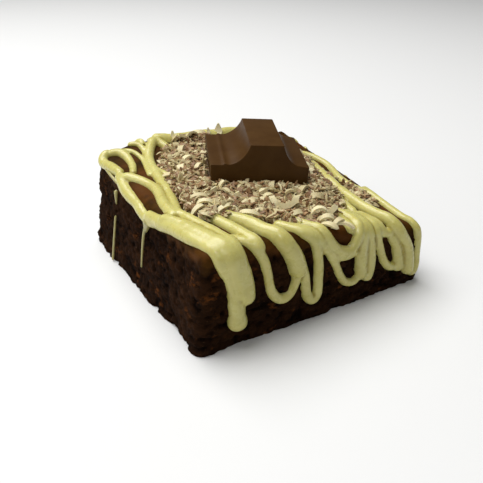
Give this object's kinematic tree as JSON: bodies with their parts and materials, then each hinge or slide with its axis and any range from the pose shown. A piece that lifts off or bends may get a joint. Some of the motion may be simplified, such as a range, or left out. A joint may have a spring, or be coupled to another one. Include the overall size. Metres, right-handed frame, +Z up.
{
  "type": "chocolate brownie",
  "caption": "Square chocolate brownie with white chocolate drizzle hanging over its sides, a heap of chocolate shavings and one moulded chocolate piece on top.",
  "frame": {"origin": "centre of the flat underside that the brownie rests on", "axes": "+Z up; +X along the front face with the long drizzle loops, from the near corner to the low right corner; +Y from the front face to the back"},
  "size_m": [0.0555, 0.0563, 0.0298],
  "materials": {
    "cake": "dark crumbly chocolate cake with a smoother, lighter brown crust",
    "white_chocolate": "set white chocolate, pale yellow and softly glossy",
    "shavings": "cream white and milk brown chocolate shavings, satin",
    "milk_chocolate": "smooth moulded milk chocolate with a soft sheen"
  },
  "bodies": {
    "root": {"brownie": "cake", "shavings": "shavings", "chocolate_chunk": "milk_chocolate"}
  },
  "joints": []
}
